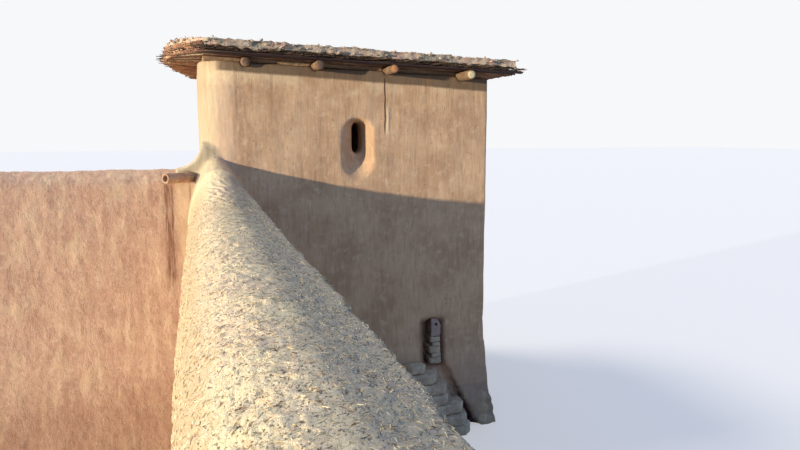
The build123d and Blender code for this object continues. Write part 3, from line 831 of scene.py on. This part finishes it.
PLASTER = painted("earth_plaster", "earth_plaster", plaster_paint, 0.006)
STRAW_MUD = painted("straw_mud", "straw_mud", straw_mud_paint, 0.0055)
YARD_MUD = painted("yard_mud", "yard_wall_mud", yard_mud_paint, 0.006)
RED_EARTH = painted("red_earth", "red_earth", red_earth_paint, 0.009)
ROOF_EARTH = painted("roof_earth", "roof_earth", roof_earth_paint, 0.009)
EAVES_MUD = painted("eaves_mud", "eaves_mud",
                    plain_paint(("a98a68", "94765a", "bfa07c", "5f4937"), 0.3, 0.05, 0.02, 0.97), 0.008)
RUBBLE = painted("rubble", "rubble_footing", rubble_paint, 0.01)
FLAT_STONE = painted("flat_stone", "flat_stone", flat_stone_paint, 0.006)
BARK = painted("bark", "log_wood", log_paint, 0.004)
LINTEL_BARK = painted("lintel_bark", "log_wood", lintel_paint, 0.004)
CANE = painted("old_cane", "reed_cane", cane_paint, 0.0015, 0.3)
BRUSH = painted("dry_brush", "brush", brush_paint, 0.004)
DRY_STRAW = painted("dry_straw", "reed_cane", straw_paint, 0.0005, 0.3)
CLAY = painted("fired_clay", "fired_clay",
               plain_paint(("c09a7c", "ad8567", "d9bd9b", "7b5b45"), 0.1, 0.03, 0.01, 0.85), 0.003)
FLOOR_EARTH = painted("floor_earth", "rammed_floor",
                      plain_paint(("b4926d", "a5835f", "c4a47d", "7a5e46"), 0.5, 0.06, 0.03, 0.97), 0.006)

# Cuts between the pieces of earth.
FINE_RIGHT = LEFT_FACE + 0.63
FINE_BACK = FRONT_FACE + 0.52
FINE_FOOT = COPING_BASE - 0.12
COPING_CUT = away(2, COPING_BASE + 0.004, -1)


def lumpy(lump_height, lump_size, knob_height, knob_size):
    """The relief of lumps and of the knobs on them."""
    return {"Lump Height": lump_height, "Lump Size": lump_size,
            "Knob Height": knob_height, "Knob Size": knob_size}


WALL_RELIEF = lumpy(0.022, 0.42, 0.005, 0.09) | {
    "Streak Height": 0.011, "Streak Width": 0.07, "Trench Depth": 0.1,
    "Rough From": -100.0, "Rough To": -101.0}


def make_walls():
    """The house's earth walls and front footing, finest at the corner, where the coping climbs it."""
    relief = WALL_RELIEF | {
        "Pit Depth": 0.009, "Stroke Height": 0.006, "Knob Height": 0.018, "Knob Size": 0.055,
        "Rough From": ROUGH_FROM, "Rough To": ROUGH_TO}
    names = ["corner_mass", "coping_sweep", "corner_fillet", "wall_coping_1", "left_wall", "front_wall"]
    cuts = between(1, SWEEP_START - 0.1, FINE_BACK + 0.1)
    cuts += [away(0, FINE_RIGHT + 0.1, 1), away(2, FINE_FOOT - 0.1, -1)]
    fine = moulded(names, CORNER_GRAIN, 16, relief, cuts)
    join = FRONT_FACE - 0.12
    cuts = [away(0, FINE_RIGHT, 1), away(1, FINE_BACK, 1), away(2, FINE_FOOT, -1), away(1, join, -1)]
    cut_piece(fine, "corner_earth", cuts, PLASTER, "corner_mass", "corner_fillet")
    sweep = cropped(fine, "sweep_earth", between(1, SWEEP_START, join) + [COPING_CUT])
    clad(strewn(sweep, {"Rough From": ROUGH_FROM, "Rough To": ROUGH_TO, "Seed": 4}), STRAW_MUD,
         "coping_sweep")
    drop(fine)

    relief = WALL_RELIEF | {"Cell Height": 0.03, "Cell Size": 0.14, "Cell Top": FOOT_TOP}
    names = ["front_wall", "corner_mass", "left_wall", "right_wall"]
    names += ["footing_" + side for side in ("front", "corner", "left", "right")]
    front = moulded(names, FRONT_GRAIN, 5, relief, [away(1, FINE_BACK + 0.1, 1)])
    raised = [away(2, FOOT_TOP, -1), away(1, ROOM_FRONT, 1), away(0, FINE_RIGHT, -1)]
    low_corner = [away(0, FINE_RIGHT, 1), away(1, FINE_BACK, 1)] + between(2, FOOT_TOP, FINE_FOOT)
    sunk = [away(2, FOOT_TOP, 1), away(1, ROOM_FRONT, 1)]
    cut_piece(front, "front_earth", raised, PLASTER, "front_wall")
    cut_piece(front, "corner_foot_earth", low_corner, PLASTER, "corner_mass")
    cut_piece(front, "rubble_front", sunk + [away(0, ROOM_LEFT, -1)], RUBBLE, "footing_front")
    cut_piece(front, "rubble_corner", sunk + [away(0, ROOM_LEFT, 1)], RUBBLE, "footing_corner")
    drop(front)

    names = ["left_wall", "right_wall", "back_wall_left", "back_wall_right", "back_wall_over_door",
             "corner_mass", "front_wall"]
    sides = moulded(names, SIDE_GRAIN, 2, WALL_RELIEF, [away(1, ROOM_FRONT - 0.15, -1)])
    behind = [away(1, ROOM_BACK, -1)]
    for name, node, cuts in (
            ("left_earth", "left_wall", [away(0, 0.0, 1)] + between(1, FINE_BACK, ROOM_BACK)),
            ("right_earth", "right_wall", [away(0, 0.0, -1)] + between(1, ROOM_FRONT, ROOM_BACK)),
            ("back_left_earth", "back_wall_left", behind + [away(0, DOOR_LEFT, 1)]),
            ("back_right_earth", "back_wall_right", behind + [away(0, DOOR_RIGHT, -1)]),
            ("over_door_earth", "back_wall_over_door", behind + between(0, DOOR_LEFT, DOOR_RIGHT))):
        cut_piece(sides, name, cuts, PLASTER, node)
    drop(sides)


def strewn(piece, settings):
    """The same piece of straw mud with straws over it."""
    piece.data.materials.append(STRAW_MUD.material)
    settings = {"Density": STRAW_DENSITY, "Material": DRY_STRAW.material} | settings
    return finished(with_tree(piece, STRAW_TREE, settings), piece.name)


def make_coping():
    """The domed coping of straw mud, one mesh cut into its bays."""
    relief = lumpy(0.035, 0.34, 0.017, 0.05) | {
        "Pit Depth": 0.01, "Pit Size": 0.036, "Rough From": ROUGH_FROM, "Rough To": ROUGH_TO}
    names = ["wall_coping_1", "wall_coping_2", "wall_coping_3", "coping_sweep"]
    whole = moulded(names, COPING_GRAIN, 3, relief, [away(1, SWEEP_START + 0.1, 1)])
    for number, name in enumerate(names[:3], 1):
        low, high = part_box(name)
        bay = cropped(whole, "coping_earth_" + str(number), between(1, low.y, high.y) + [COPING_CUT])
        clad(strewn(bay, {"Seed": number}), STRAW_MUD, name)
    drop(whole)


def make_yard_walls():
    """The body of the yard wall and the low reddish wall with its rounded top."""
    names = ["boundary_wall_" + number for number in "123"]
    whole = moulded(names, YARD_GRAIN, 2, WALL_RELIEF, [])
    for name in names:
        low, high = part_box(name)
        cuts = between(1, low.y, high.y) + [away(2, COPING_BASE + 0.006, 1)]
        cut_piece(whole, name + "_earth", cuts, YARD_MUD, name)
    drop(whole)
    red = lumpy(0.03, 0.35, 0.012, 0.07) | {"Streak Height": 0.022, "Streak Width": 0.045}
    whole = moulded(["side_wall", "side_wall_crown"], RED_GRAIN, 6, red, [])
    cut_piece(whole, "side_wall_earth", [away(2, CROWN_FOOT, 1)], RED_EARTH, "side_wall")
    cut_piece(whole, "side_wall_top_earth", [away(2, CROWN_FOOT, -1)], RED_EARTH, "side_wall_crown")
    drop(whole)


def layered(node, grain):
    """The stones of a stack as worn lumps of their own, one for each step of its CAD node."""
    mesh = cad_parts[node].data
    steps = sorted({round(face.center.z, 3) for face in mesh.polygons if abs(face.normal.z) > 0.999})
    top = max(vertex.co.z for vertex in mesh.vertices)
    steps = [step for step in steps if step < top - 0.01] + [top]
    stone = lumpy(0.018, 0.14, 0.008, 0.035)
    worn = bmesh.new()
    for low, high in zip(steps, steps[1:]):
        part = moulded([node], grain, 2, stone, between(2, low + 0.002, high - 0.002), swell=0.0)
        worn.from_mesh(part.data)
        drop(part)
    whole = bpy.data.meshes.new(node + "_worn")
    worn.to_mesh(whole)
    worn.free()
    return keep(whole.name, whole)


def make_foot():
    """The rest of the footing, the flat stones, the threshold and the floor's finish."""
    sides = ("corner", "front", "left", "right", "back_left", "back_right")
    relief = lumpy(0.02, 0.3, 0.016, 0.07) | {"Cell Height": 0.035, "Cell Size": 0.14}
    whole = moulded(["footing_" + side for side in sides], RUBBLE_GRAIN, 2, relief, [])
    for side, cuts in (
            ("left", [away(0, 0.0, 1)] + between(1, ROOM_FRONT, ROOM_BACK)),
            ("right", [away(0, 0.0, -1)] + between(1, ROOM_FRONT, ROOM_BACK)),
            ("back_left", [away(0, DOOR_LEFT, 1), away(1, ROOM_BACK, -1)]),
            ("back_right", [away(0, DOOR_RIGHT, -1), away(1, ROOM_BACK, -1)])):
        cut_piece(whole, "rubble_" + side, cuts, RUBBLE, "footing_" + side)
    drop(whole)
    for name, grain in (("foot_slabs", STONE_GRAIN), ("hatch_stones", STONE_GRAIN / 2),
                        ("threshold_stone", STONE_GRAIN)):
        clad(layered(name, grain), FLAT_STONE, name)
    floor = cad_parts["earth_floor"].data
    floor.materials.clear()
    floor.materials.append(FLOOR_EARTH.material)


# Roof

def on_roof(along, y, height):
    """A place on the slope: along it from the left face, and height above the wall tops."""
    return Vector((LEFT_FACE + along * math.cos(ROOF_SLOPE) + height * math.sin(ROOF_SLOPE), y,
                   WALL_TOP - along * math.sin(ROOF_SLOPE) + height * math.cos(ROOF_SLOPE)))


# The roof's skin, and the depth of its layers over the wall tops.
ROOF_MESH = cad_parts["earth_roof"].data
ROOF_SKIN = BVHTree.FromPolygons([vertex.co for vertex in ROOF_MESH.vertices],
                                 [polygon.vertices[:] for polygon in ROOF_MESH.polygons])
BEAM_TOP = 0.055
CANE_DEPTH = 0.028
BRUSH_DEPTH = 0.016
MUD_BOTTOM = BEAM_TOP + CANE_DEPTH + BRUSH_DEPTH
CANE_END = HOUSE_LENGTH + 0.29
MUD_END = HOUSE_LENGTH + 0.27


def roof_edge(y):
    """How far along the roof its left edge lies, at that depth."""
    y = min(max(y, ROOF_LOW.y + 0.01), ROOF_HIGH.y - 0.01)
    height = WALL_TOP + MUD_BOTTOM + 0.05
    hit = ROOF_SKIN.ray_cast(Vector((cad_low.x - 1, y, height)), Vector((1, 0, 0)))[0]
    return hit.x - LEFT_FACE


def cane_line(rng, y, right, thickness, sag=0.0):
    """One cane from the right edge to the left, fanned out near the corner."""
    share = min(max((y - ROOF_LOW.y) / 1.7, 0), 1)
    fan = 2.3 * (1 - share) ** 1.6
    line = []
    along = right
    drift = rng.uniform(-0.006, 0.006)
    height = BEAM_TOP + CANE_DEPTH / 2 - sag + rng.uniform(-0.006, 0.004)
    phase = rng.uniform(0, 6.28)
    overrun = rng.uniform(-0.09, 0.04)
    while along > -0.6:
        bend = max(0.16 - along, 0) ** 1.35 * fan
        sway = 0.006 * math.sin(along * 2.1 + phase) + drift
        place = on_roof(along, y + bend + sway, height + 0.003 * math.sin(along * 5 + phase))
        if along < roof_edge(y + bend) - overrun:
            break
        knot = 1 + 0.22 * (math.sin(along * 21 + phase) > 0.9)
        line.append((place, thickness * knot * (1 - 0.06 * rng.random())))
        along -= 0.3 if along > 0.3 else 0.035
    return line


def rim_line(rng, thickness):
    """A crooked cane along the roof's rounded left edge, on the side of the mud."""
    start = ROOF_LOW.y + rng.uniform(0.02, 0.8)
    height = rng.uniform(BEAM_TOP + 0.01, MUD_BOTTOM + 0.065)
    tilt = rng.uniform(-0.03, 0.02)
    inset = rng.uniform(0.0, 0.02)
    line = []
    for step in range(rng.randint(6, 16)):
        y = start + step * 0.07
        along = roof_edge(y) + inset + rng.uniform(-0.003, 0.003)
        line.append((on_roof(along, y, height + tilt * step * 0.07), thickness))
    return line


def make_canes():
    """The cane mats over the logs, loose canes, and canes along the rim."""
    rng = random.Random(11)
    for name in ("cane_mat_front", "cane_mat_middle", "cane_mat_back"):
        low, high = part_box(name)
        lines = []
        y = low.y + 0.012
        while y < high.y - 0.005:
            thickness = rng.uniform(0.007, 0.014)
            right = CANE_END - rng.uniform(-0.01, 0.06)
            line = cane_line(rng, y, right, thickness)
            if len(line) > 2:
                lines.append(line)
            y += thickness * 1.9
        make_stalks(name + "_canes", lines, 7, CANE, name)
    loose = [cane_line(rng, ROOF_LOW.y + rng.uniform(0.05, 1.5), rng.uniform(0.1, 0.3),
                       rng.uniform(0.003, 0.006), 0.012) for number in range(LOOSE_CANES)]
    loose = [line for line in loose if len(line) > 3]
    loose += [rim_line(rng, 0.004) for number in range(LOOSE_RIM_CANES)]
    make_stalks("loose_canes", loose, 6, DRY_STRAW)
    rim = [rim_line(rng, rng.uniform(0.005, 0.011)) for number in range(RIM_CANES)]
    make_stalks("rim_canes", rim, 6, CANE)


def rim_place(rng):
    """A random place on the roof's rim in plan, with the way out from it."""
    side = rng.choices(("front", "left", "right", "back"), (3.6, 3.4, 3.2, 3.2))[0]
    if side == "front":
        return rng.uniform(0.06, MUD_END), ROOF_LOW.y, -math.pi / 2
    if side == "back":
        return rng.uniform(-0.05, MUD_END), ROOF_HIGH.y, math.pi / 2
    y = rng.uniform(ROOF_LOW.y + 0.05, ROOF_HIGH.y - 0.05)
    if side == "right":
        return MUD_END, y, 0.0
    return roof_edge(y), y, math.pi


def make_brush():
    """Brush pressed between the canes and the mud, with twigs that stick out of the rim."""
    rng = random.Random(5)
    lines = []
    for number in range(TWIGS):
        along, y, outward = rim_place(rng)
        length = rng.uniform(0.06, 0.3)
        turn = outward + rng.choice((-1, 1)) * rng.uniform(0.35, 1.65)
        inset = rng.uniform(0.0, 0.07)
        start = on_roof(along - math.cos(outward) * inset, y - math.sin(outward) * inset,
                        BEAM_TOP + CANE_DEPTH + rng.uniform(-0.006, BRUSH_DEPTH + 0.012))
        way = Vector((math.cos(turn), math.sin(turn), rng.uniform(-0.12, 0.1)))
        thickness = rng.uniform(0.0018, 0.0048)
        line = []
        for step in range(4):
            share = step / 3 - 0.55
            bow = Vector((rng.uniform(-1, 1), rng.uniform(-1, 1), rng.uniform(-0.6, 0.6))) * 0.008
            line.append((start + way * length * share + bow, thickness * (1.1 - 0.3 * step / 3)))
        lines.append(line)
    make_stalks("brush_twigs", lines, 4, BRUSH)
    skinned("brush_layer", "brush_mat", BRUSH_GRAIN, 0, lumpy(0.0, 0.4, 0.008, 0.05), BRUSH)


def make_roof_mud():
    """The crust of mud on the roof, with broken lumps along its rim."""
    relief = lumpy(0.05, 0.2, 0.028, 0.06) | {"Cell Height": 0.02, "Cell Size": 0.09, "Bias": 0.75}
    crust = moulded(["earth_roof", "brush_layer"], ROOF_GRAIN, 1, relief, [])
    bottom = on_roof(0.0, 0.0, BEAM_TOP + CANE_DEPTH + 0.004)
    down = (-math.sin(ROOF_SLOPE), 0.0, -math.cos(ROOF_SLOPE))
    cut_piece(crust, "roof_crust", [(bottom, down)], ROOF_EARTH, "earth_roof")
    drop(crust)
    clods = with_tree(joined_nodes(["earth_roof"], -CLOD_SINK, []), CLOD_TREE, {
        "Density": CLOD_DENSITY, "Size": 0.019, "Flat": 0.5, "Seed": 3,
        "Material": ROOF_EARTH.material})
    clad(finished(clods, "roof_clods"), ROOF_EARTH)


def make_eaves():
    """Mud packed between the logs on the wall tops, the crooked logs, and those of the lintel."""
    relief = lumpy(0.02, 0.12, 0.012, 0.04)
    for side in ("front", "back", "left", "right"):
        name = "eaves_packing_" + side
        skinned(name, name + "_mud", EAVES_GRAIN, 0, relief, EAVES_MUD)
    bark = lumpy(0.012, 0.2, 0.004, 0.04)
    for number in range(1, 5):
        name = "roof_beam_" + str(number)
        skinned(name, name + "_log", LOG_GRAIN, 2, bark, BARK)
    skinned("door_lintel", "door_lintel_logs", LOG_GRAIN, 2, bark, LINTEL_BARK)


def make_drain():
    """The clay drain with its bore."""
    skinned("drain_spout", "drain_clay", DRAIN_GRAIN, 2, lumpy(0.004, 0.06, 0.002, 0.02), CLAY, 0.0)


make_walls()
make_coping()
make_yard_walls()
make_foot()
make_canes()
make_brush()
make_roof_mud()
make_eaves()
make_drain()


# Light, floor and camera

def lamp(name, direction, energy, angle, colour):
    """A lamp far off that shines from that direction."""
    data = bpy.data.lights.new(name, "SUN")
    data.energy = energy
    data.angle = angle
    data.color = colour
    keep(name, data).rotation_euler = Vector(direction).to_track_quat("Z", "Y").to_euler()


def direct_look(sheet):
    """1 for what the camera sees, straight, in a shine or through a pane, and 0 for other light."""
    rays = ("Is Camera Ray", "Is Glossy Ray", "Is Transmission Ray")
    straight, shine, through = (sheet.add("ShaderNodeLightPath", None, ray) for ray in rays)
    return (straight + shine + through).math("MINIMUM", 1.0)


def make_stage():
    """A pale floor and background, a low warm light from the left and a soft one overhead."""
    mesh = bpy.data.meshes.new("pale_floor")
    reach = 150.0
    corners = [(-reach, -reach, 0), (reach, -reach, 0), (reach, reach, 0), (-reach, reach, 0)]
    mesh.from_pydata(corners, [], [(0, 1, 2, 3)])
    floor = keep("pale_floor", mesh)
    material = bpy.data.materials.new("pale_floor")
    material.use_nodes = True
    shader = material.node_tree.nodes["Principled BSDF"]
    shader.inputs["Base Color"].default_value = rgb("bcb9b4")
    shader.inputs["Roughness"].default_value = 0.9
    shader.inputs["Specular IOR Level"].default_value = 0.1
    shader.inputs["Emission Strength"].default_value = 1.0
    sheet = Sheet(material.node_tree)
    glow = sheet.mixed(direct_look(sheet), (0, 0, 0, 1), (0.42, 0.41, 0.4, 1))
    sheet.tree.links.new(glow.socket, shader.inputs["Emission Color"])
    mesh.materials.append(material)
    lamp("key", (-1.0, -0.35, 0.065), 4.9, 0.02, (1.0, 0.9, 0.74))
    lamp("overhead", (-0.58, 0.3, 0.75), 2.3, 0.35, (1.0, 0.92, 0.78))
    world = bpy.data.worlds.new("studio")
    world.use_nodes = True
    bpy.context.scene.world = world
    sheet = Sheet(world.node_tree)
    back = world.node_tree.nodes["Background"]
    seen = direct_look(sheet)
    colour = sheet.mixed(seen, (0.42, 0.72, 1.4, 1), (0.93, 0.94, 0.95, 1))
    sheet.tree.links.new(colour.socket, back.inputs["Color"])
    sheet.tree.links.new((seen * 0.5 + 0.5).socket, back.inputs["Strength"])


def make_camera():
    """The camera at the photograph's place."""
    data = bpy.data.cameras.new("camera")
    data.lens = CAMERA_LENS
    data.clip_start = 0.05
    data.clip_end = 500
    camera = keep("camera", data)
    camera.location = CAMERA_PLACE
    camera.rotation_euler = [math.radians(turn) for turn in (90 - CAMERA_DOWN_TILT, 0, -CAMERA_RIGHT_TURN)]
    bpy.context.scene.camera = camera


make_stage()
make_camera()
bpy.context.scene.view_settings.view_transform = "Standard"
bpy.context.view_layer.update()
